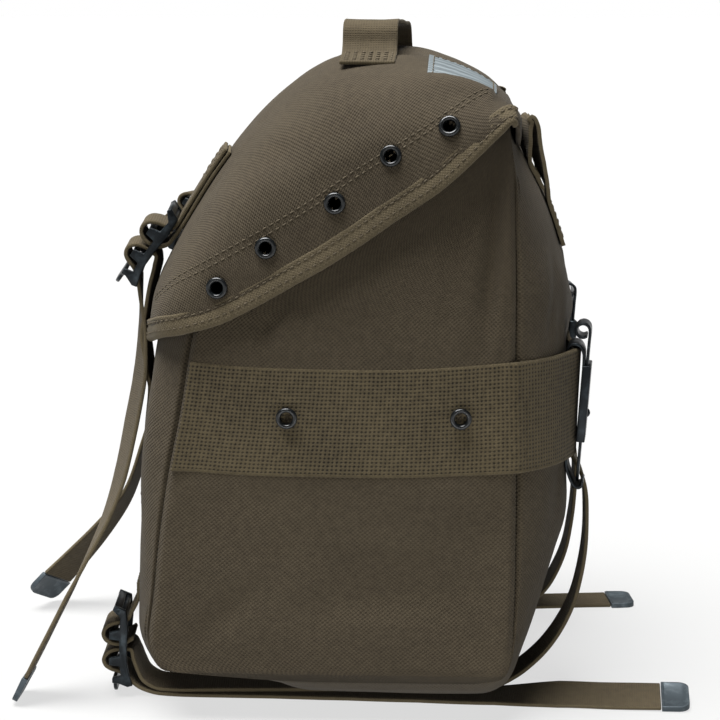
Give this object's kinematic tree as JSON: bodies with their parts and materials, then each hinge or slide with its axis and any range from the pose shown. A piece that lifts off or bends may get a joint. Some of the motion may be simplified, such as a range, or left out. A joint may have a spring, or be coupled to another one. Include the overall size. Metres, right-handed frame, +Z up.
{
  "type": "belt bag",
  "caption": "Stuffed canvas belt bag with a strapped lid, webbing straps with free ends, carrying handle and belt clips with sliding bars.",
  "frame": {"origin": "middle of the flat under the belly, on the surface the bag stands on", "axes": "+Z up, +Y from the front to the back that lies against the wearer, +X across to the bag's right"},
  "size_m": [0.2658, 0.3434, 0.32],
  "materials": {
    "canvas": "plain-woven canvas",
    "binding": "woven tape",
    "webbing": "heavy woven webbing",
    "hardware": "black oxide, slightly worn",
    "tip": "satin slate grey",
    "clear": "clear flexible plastic"
  },
  "bodies": {
    "pack": {"body_wrap": "canvas", "lid": "canvas", "lid_binding": "binding", "label_window": "clear", "handle": "webbing", "webbing_band": "webbing", "side_panel_right": "canvas", "side_panel_left": "canvas", "suspender_loop_right": "webbing", "suspender_loop_left": "webbing", "lid_tab_right": "webbing", "lid_tab_left": "webbing", "lid_buckle_right": "hardware", "lid_buckle_left": "hardware", "front_strap_right": "webbing", "front_strap_left": "webbing", "front_strap_tip_right": "tip", "front_strap_tip_left": "tip", "base_tab_right": "webbing", "base_tab_left": "webbing", "base_buckle_right": "hardware", "base_buckle_left": "hardware", "base_strap_right": "webbing", "base_strap_left": "webbing", "base_strap_tip_right": "tip", "base_strap_tip_left": "tip", "keeper_frame_right": "hardware", "keeper_frame_left": "hardware", "lid_eyelet_right_1": "hardware", "lid_eyelet_right_2": "hardware", "lid_eyelet_right_3": "hardware", "lid_eyelet_right_4": "hardware", "lid_eyelet_right_5": "hardware", "lid_eyelet_left_1": "hardware", "lid_eyelet_left_2": "hardware", "lid_eyelet_left_3": "hardware", "lid_eyelet_left_4": "hardware", "lid_eyelet_left_5": "hardware", "band_eyelet_right_1": "hardware", "band_eyelet_right_2": "hardware", "band_eyelet_left_1": "hardware", "band_eyelet_left_2": "hardware"},
    "keeper_bar_right": {"keeper_bar_right": "hardware"},
    "keeper_bar_left": {"keeper_bar_left": "hardware"}
  },
  "joints": [
    {"name": "keeper_bar_right_slide", "type": "slide", "parent": "pack", "child": "keeper_bar_right", "axis": [0.0063, 0.0695, 0.9976], "range_m": [0, 0.012]},
    {"name": "keeper_bar_left_slide", "type": "slide", "parent": "pack", "child": "keeper_bar_left", "axis": [-0.0063, 0.0695, 0.9976], "range_m": [0, 0.012]}
  ]
}
